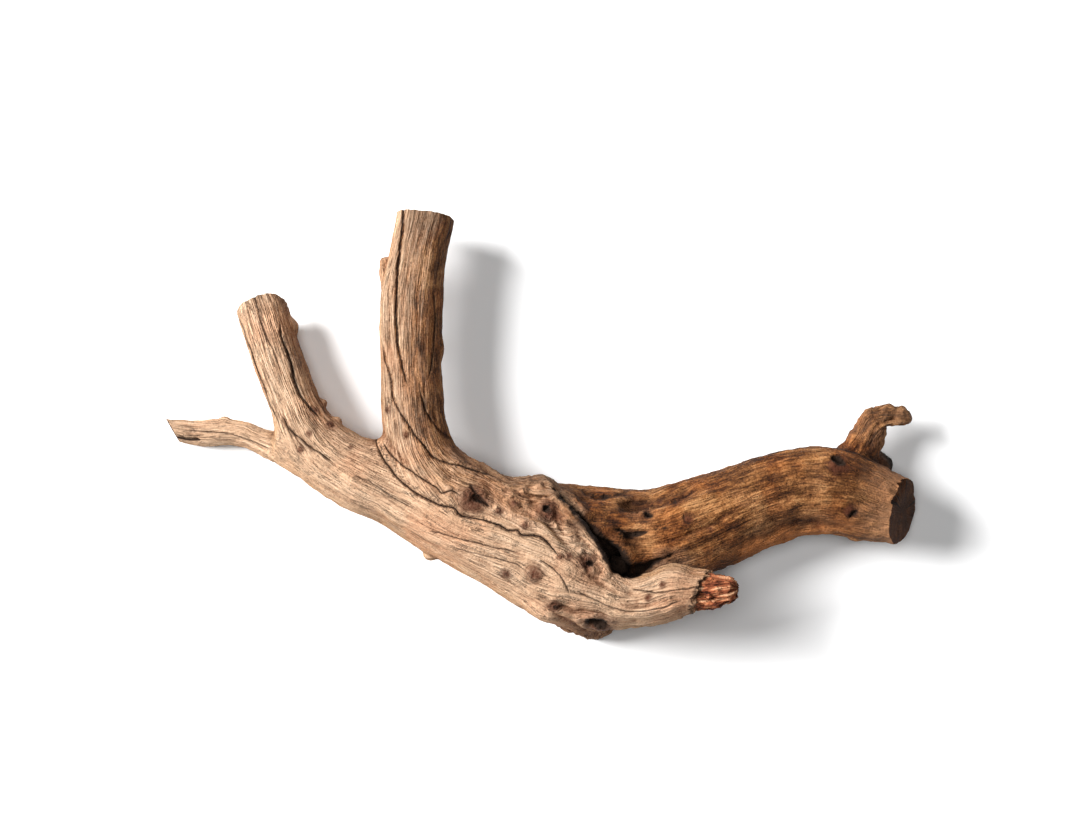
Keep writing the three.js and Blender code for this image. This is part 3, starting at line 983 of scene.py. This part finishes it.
def paint(mesh, points, tris):
    """Stores the grain places and the masks that the wood's colours need."""
    normal = point_normals(points, tris)
    knots = knot_places(points)
    grains = grain_places(points, knots)
    count = len(points)
    for key in GRAIN_SETS:
        place, share = np.zeros((count, 3)), np.zeros(count)
        for limb, held, part, place3 in grains:
            if limb.grain == key:
                place[held] = place3 + PHASE_STEP * limb.phase
                share[held] = part
        give(mesh, "grain_" + key, place)
        give(mesh, "share_" + key, share)
    pale = pale_and_side_shade(points, normal, grains)
    smoothed = relax(points, edges_of(tris)[0], SMOOTHING)
    proud = ((points - smoothed) * normal).sum(1)
    _, crack_side, crack_wide, crack_share = crack_marks(points, normal)
    knot, dark = knots_and_shade(points, normal, knots, grains)
    named = {limb.name: limb for limb in LIMB_LIST}
    bare = limb_depth(named["spur"], points) - limb_depth(named["heartwood"], points)
    behind = 4 * noise(points / 6.0, 15) - past(points, *SAW_CUTS[0][:2])
    centres = np.array([cut[0] for cut in SAW_CUTS], float)
    nearest = length(points[:, None] - centres).argmin(1)
    masks = dict(
        # dark holds painted shade in pits, hollows, slots, creases, on the leg and round the
        # break.
        pale=pale, knot=knot, dark=dark,
        # hollow holds dirt and painted shade in the skin's dips.
        hollow=smooth(-0.04, -0.55, proud), worn=smooth(0.06, 0.6, proud),
        furrow=limb_mix(grains, count, lambda limb: limb.furrow),
        crack_side=crack_side, crack_wide=crack_wide, crack_share=crack_share,
        heart=smooth(0.5, 1.5, bare) * in_box(points, *SPUR_TIP),
        ochre=smooth(0.75, 0.1, normal[:, 2]) * pale,
        # Darker where the skin faces down, on brown wood.
        facing_down=smooth(0.55, -0.1, normal[:, 2]) * (1 - pale),
        from_pith=points - centres[nearest],
        fresh=smooth(26, 4, behind) * in_box(points, *TRUNK_END),
        **stain_and_shadow_marks(points, normal))
    for name, values in masks.items():
        give(mesh, name, values)


# ---------------------------------------------------------------------------- materials


class Value:
    """A value in the shader. Sums, products and so on add the node that works them out."""

    def __init__(self, nodes, socket):
        self.nodes, self.socket = nodes, socket

    def __add__(self, other):
        return self.nodes.math("ADD", self, other)

    def __sub__(self, other):
        return self.nodes.math("SUBTRACT", self, other)

    def __mul__(self, other):
        return self.nodes.math("MULTIPLY", self, other)

    def __truediv__(self, other):
        return self.nodes.math("DIVIDE", self, other)

    def __abs__(self):
        return self.nodes.math("ABSOLUTE", self)


class Nodes:
    """A short way to add shader nodes and join them."""

    def __init__(self, tree):
        self.tree = tree

    def add(self, kind, inputs=(), output=0, **settings):
        """Adds a node with its inputs set or joined, and gives one of its outputs."""
        node = self.tree.nodes.new(kind)
        for key, value in settings.items():
            setattr(node, key, value)
        for key, value in dict(inputs).items():
            self.plug(node.inputs[key], value)
        return Value(self, node.outputs[output])

    def plug(self, socket, value):
        if isinstance(value, Value):
            self.tree.links.new(value.socket, socket)
        else:
            socket.default_value = value

    def math(self, operation, *values, clamp=False):
        return self.add("ShaderNodeMath", enumerate(values),
                        operation=operation, use_clamp=clamp)

    def vector(self, operation, *values, output=0):
        return self.add("ShaderNodeVectorMath", enumerate(values), output, operation=operation)

    def attribute(self, name, output="Fac"):
        return self.add("ShaderNodeAttribute", output=output, attribute_name=name)

    def noise(self, vector, scale, detail, roughness=0.5):
        return self.add("ShaderNodeTexNoise", {
            "Vector": vector, "Scale": scale, "Detail": detail, "Roughness": roughness}, "Fac")

    def ramp(self, value, stops):
        made = self.add("ShaderNodeValToRGB", {0: value})
        ramp = made.socket.node.color_ramp
        while len(ramp.elements) < len(stops):
            ramp.elements.new(0.5)
        for element, (place, colour) in zip(ramp.elements, stops):
            element.position = place
            element.color = (*colour, 1)
        return made

    def mix(self, share, a, b, blend_type="MIX"):
        a, b = ((*c, 1) if isinstance(c, tuple) else c for c in (a, b))
        return self.add("ShaderNodeMix", {0: share, 6: a, 7: b}, 2,
                        data_type="RGBA", blend_type=blend_type)

    def remap(self, value, low, high, to_low=0.0, to_high=1.0):
        """An S-shaped ramp: to_low where the value is low and to_high where it is high."""
        return self.add("ShaderNodeMapRange", enumerate((value, low, high, to_low, to_high)),
                        interpolation_type="SMOOTHSTEP")

    def about_half(self, *rows):
        """One half, plus the sum of each value's distance from one half times its weight."""
        total, *others = [(value - 0.5) * weight for value, weight in rows]
        for other in others:
            total = total + other
        return self.math("ADD", total, 0.5, clamp=True)


def by_grain(nodes, along, scale, detail, roughness=0.55):
    """One noise drawn out along the grain of each set, mixed by the sets' shares."""
    parts = []
    for key in GRAIN_SETS:
        grain = nodes.attribute("grain_" + key, "Vector")
        drawn = nodes.vector("MULTIPLY", grain, (1, 1, along))
        value = nodes.noise(drawn, scale, detail, roughness)
        parts.append(value * nodes.attribute("share_" + key))
    a, b, c, d = parts
    return a + b + c + d


def sawn_wood(nodes, place):
    """The dark brown of a cut, with growth rings round the pith and checks across them."""
    brown = nodes.ramp(nodes.noise(place, 160.0, 4.0, 0.6), [
        (0.3, (0.042, 0.013, 0.003)), (0.55, (0.095, 0.030, 0.007)),
        (0.75, (0.175, 0.064, 0.018))])
    pith = nodes.attribute("from_pith", "Vector")
    span = nodes.vector("LENGTH", pith, output="Value")
    ring = nodes.math("SINE", span * 2.9 + nodes.noise(place, 70.0, 3.0) * 14.0)
    ring = nodes.remap(ring, -1.0, 1.0, 0.0, 0.5)
    ringed = nodes.mix(ring, brown, (0.42, 0.38, 0.36), "MULTIPLY")
    spoke = nodes.noise(nodes.vector("NORMALIZE", pith), 5.0, 1.0)
    check = nodes.remap(spoke, 0.60, 0.66, 0.0, 0.8) * nodes.remap(span, 3.0, 8.0)
    return nodes.mix(check, ringed, (0.010, 0.004, 0.002))


def weathered_wood():
    """Bleached tan on the body and brown on the trunk, with furrows drawn along the grain,
    dark cracks, red-brown knots, orange heartwood, dark saw cuts, and painted shade and
    shadow in pits, hollows, slots, creases and dips."""
    material = bpy.data.materials.new("weathered_wood")
    material.use_nodes = True
    nodes = Nodes(material.node_tree)
    shader = material.node_tree.nodes["Principled BSDF"]
    place = nodes.add("ShaderNodeTexCoord", output="Object")

    broad = by_grain(nodes, 0.16, 0.16, 3.0)
    line = by_grain(nodes, 0.035, 0.42, 3.0, 0.62)
    furrow = by_grain(nodes, 0.05, 1.15, 2.0, 0.6)
    fibre = by_grain(nodes, 0.17, 0.62, 3.0, 0.68)
    blotch = nodes.noise(place, 26.0, 4.0, 0.55)
    patch = nodes.noise(place, 90.0, 3.0, 0.6)
    speck = nodes.noise(place, 750.0, 2.0, 0.6)
    rough = nodes.attribute("furrow")

    hair = nodes.remap(abs(line - 0.5) + (speck - 0.5) * 0.05, 0.022, 0.0)
    hair = hair * nodes.remap(patch, 0.40, 0.62)
    thin = nodes.remap(furrow, 0.46, 0.30)
    tone = nodes.about_half((furrow, rough * 1.9 + 0.4), (broad, 0.7), (speck, 0.55),
                            (patch, 0.35))
    deep = nodes.about_half((fibre, 1.15), (broad, 1.15), (blotch, 1.1), (patch, 0.8),
                            (speck, 0.7), (furrow, 0.35))
    pale_wood = nodes.ramp(tone, [
        (0.10, (0.190, 0.105, 0.060)), (0.34, (0.360, 0.215, 0.130)),
        (0.55, (0.490, 0.315, 0.200)), (0.85, (0.640, 0.450, 0.310))])
    brown_wood = nodes.ramp(deep, [
        (0.10, (0.035, 0.012, 0.004)), (0.34, (0.105, 0.038, 0.011)),
        (0.53, (0.220, 0.088, 0.027)), (0.84, (0.430, 0.205, 0.078))])
    ruddy = nodes.remap(nodes.noise(place, 42.0, 3.0, 0.6), 0.42, 0.62, 0.0, 0.75)
    brown_wood = nodes.mix(ruddy, brown_wood, (1.0, 0.80, 0.62), "MULTIPLY")
    pink = nodes.remap(blotch, 0.45, 0.65)
    pale_wood = nodes.mix(pink, pale_wood, (0.97, 0.84, 0.78), "MULTIPLY")
    pale = nodes.math("ADD", nodes.attribute("pale"), (blotch - 0.5) * 0.6, clamp=True)
    colour = nodes.mix(pale, brown_wood, pale_wood)
    for name, strength, tint, how in (
            ("ochre", 0.8, (0.94, 0.78, 0.54), "MULTIPLY"),
            # Darkens brown wood where it faces down.
            ("facing_down", 0.75, (0.52, 0.46, 0.42), "MULTIPLY"),
            ("grey", 0.85, (0.50, 0.48, 0.48), "MULTIPLY"),
            # Painted shadow beside the ridge and the spur.
            ("painted_shadow", 0.9, (0.26, 0.21, 0.19), "MULTIPLY"),
            ("rust", 0.75, (0.44, 0.160, 0.050), "MIX"),
            ("fresh", 0.5, (0.46, 0.235, 0.120), "MIX")):
        colour = nodes.mix(nodes.attribute(name) * strength, colour, tint, how)
    strong = rough * 0.55 + 0.02
    colour = nodes.mix(hair * (strong + 0.1), colour, (0.060, 0.030, 0.016))
    colour = nodes.mix(thin * strong, colour, (0.42, 0.34, 0.30), "MULTIPLY")
    # Dirt and painted shade: darker in the skin's dips, where it lies below its smoothed copy.
    dirt_and_shade = nodes.attribute("hollow") * nodes.remap(speck, 0.3, 0.6, 0.9, 0.6)
    colour = nodes.mix(dirt_and_shade, colour, (0.36, 0.27, 0.22), "MULTIPLY")
    colour = nodes.mix(nodes.attribute("worn") * (pale * 0.2), colour, (0.62, 0.42, 0.27))
    knot = nodes.attribute("knot") * nodes.remap(speck, 0.3, 0.7, 1.0, 0.82)
    colour = nodes.mix(knot, colour, (0.062, 0.018, 0.008))
    orange = nodes.ramp(by_grain(nodes, 0.25, 0.45, 2.0), [
        (0.36, (0.035, 0.009, 0.004)), (0.46, (0.200, 0.052, 0.022)),
        (0.55, (0.44, 0.145, 0.060)), (0.68, (0.62, 0.34, 0.19))])
    colour = nodes.mix(nodes.attribute("heart"), colour, orange)
    side = abs(nodes.attribute("crack_side") + (speck - 0.5) * 0.5)
    side = side / nodes.attribute("crack_wide")
    soft = nodes.remap(side, 3.0, 0.8) * 0.35
    crack = nodes.math("MAXIMUM", nodes.remap(side, 1.25, 0.35), soft)
    crack = crack * nodes.attribute("crack_share")
    colour = nodes.mix(crack, colour, (0.022, 0.011, 0.006))
    # Painted shade: pits, hollows, slots, creases, the leg and the break go nearly black.
    dark = nodes.remap(nodes.attribute("dark") + (speck - 0.5) * 0.3, 0.06, 0.92)
    colour = nodes.mix(dark, colour, (0.018, 0.009, 0.005))
    colour = nodes.mix(nodes.attribute("sawn"), colour, sawn_wood(nodes, place))

    height = furrow * (rough * 1.4 + 0.2)
    height = height + line * nodes.remap(pale, 0.0, 1.0, 0.5, 1.2)
    height = height + fibre * nodes.remap(pale, 0.0, 1.0, 0.9, 0.2)
    height = height + speck * 0.35 - hair * 0.5 - crack * 0.8
    bump = nodes.add("ShaderNodeBump", {"Strength": 1.0, "Distance": 0.0026, "Height": height})
    for key, value in (("Base Color", colour), ("Specular IOR Level", 0.15), ("Normal", bump),
                       ("Roughness", nodes.remap(tone, 0.0, 1.0, 0.92, 0.74))):
        nodes.plug(shader.inputs[key], value)
    return material


# -------------------------------------------------------------------------------- wood


def tear_rims(points):
    """Draws each saw cut's rim back unevenly. A point at distance u behind the cut moves
    back by the tear there times exp(-u / reach), and the middle of the cut stays."""
    points = points.copy()
    for at, facing, reach, tear_back in SAW_CUTS:
        ahead = unit(np.array(facing))
        beyond = past(points, at, facing)
        flat = points - beyond[:, None] * ahead - at
        spread = length(flat)
        near = (beyond > -16) & (beyond < 0.5) & (spread < reach)
        rim = spread[near & (beyond > -1)].max()
        q = flat[near]
        tear = smooth(-0.2, 0.5, noise(q / 3.4, 18)) + 0.35 * noise(q / 1.5, 19)
        tear = np.clip(tear, 0, 1.4) * smooth(0.55 * rim, 0.85 * rim, spread[near])
        tear *= tear_back * smooth(0, 8, q[:, 2]) * smooth(-6, 5, q[:, 1])
        back = tear * np.exp(np.minimum(beyond[near], 0) / TEAR_REACH)
        points[near] -= back[:, None] * ahead
    return points


def driftwood():
    """The wood: its skin, dressed, cut flat at the sawn ends and where it rests, painted."""
    points, tris = shape_skin()
    knots = knot_places(points)
    wanted = wants_detail(points, point_normals(points, tris), knots)
    points, tris = refined(points, tris, wanted)
    points = settle(points, tris, 1, 1.0)
    points = dress(points, tris, knots)
    sawn = np.zeros(len(tris), int)
    for at, facing, reach in [cut[:3] for cut in SAW_CUTS] + [REST_CUT]:
        points, tris, sawn = cut_flat(points, tris, sawn, at, facing, reach)
    points, tris, sawn = main_piece(points, tris, sawn)
    points = tear_rims(points)
    mesh = wood_mesh(points, tris, sawn)
    paint(mesh, points, tris)
    mesh.materials.append(weathered_wood())
    wood = bpy.data.objects.new("wood", mesh)
    bpy.context.scene.collection.objects.link(wood)
    return wood


# --------------------------------------------------------------- floor, light and camera


def softbox(name, place, size, power):
    """A round light that faces the origin."""
    light = bpy.data.lights.new(name, "AREA")
    light.shape = "DISK"
    light.size = size
    light.energy = power
    ob = bpy.data.objects.new(name, light)
    ob.location = place
    ob.rotation_mode = "QUATERNION"
    ob.rotation_quaternion = (-Vector(place)).to_track_quat("-Z", "Y")
    bpy.context.scene.collection.objects.link(ob)


def studio():
    """A pale floor, one soft light from the left, a weak one overhead, a pale world."""
    bpy.ops.mesh.primitive_plane_add(size=12, location=(0, 0, 0))
    floor = bpy.context.object
    floor.name = "floor"
    paint_floor = bpy.data.materials.new("floor")
    paint_floor.use_nodes = True
    shader = paint_floor.node_tree.nodes["Principled BSDF"]
    shader.inputs["Base Color"].default_value = (0.90, 0.90, 0.90, 1)
    shader.inputs["Roughness"].default_value = 0.9
    floor.data.materials.append(paint_floor)

    softbox("key", (-2.3, 0.8, 1.95), 1.7, 272.0)
    softbox("overhead", (0.0, 0.1, 3.2), 1.4, 42.0)

    world = bpy.data.worlds.new("world")
    world.use_nodes = True
    sky = world.node_tree.nodes["Background"].inputs
    sky["Color"].default_value = (0.95, 0.96, 1.0, 1)
    sky["Strength"].default_value = 0.03
    bpy.context.scene.world = world
    bpy.context.scene.view_settings.view_transform = "Standard"


def look_down():
    """The camera two metres up, looking straight down."""
    camera = bpy.data.objects.new("camera", bpy.data.cameras.new("camera"))
    camera.location = (0.001, 0.009, 2.0)
    camera.data.lens = 100
    camera.data.sensor_width = 36
    bpy.context.scene.collection.objects.link(camera)
    bpy.context.scene.camera = camera


wood = driftwood()
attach(wood, "root")
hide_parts(NODE)
studio()
look_down()
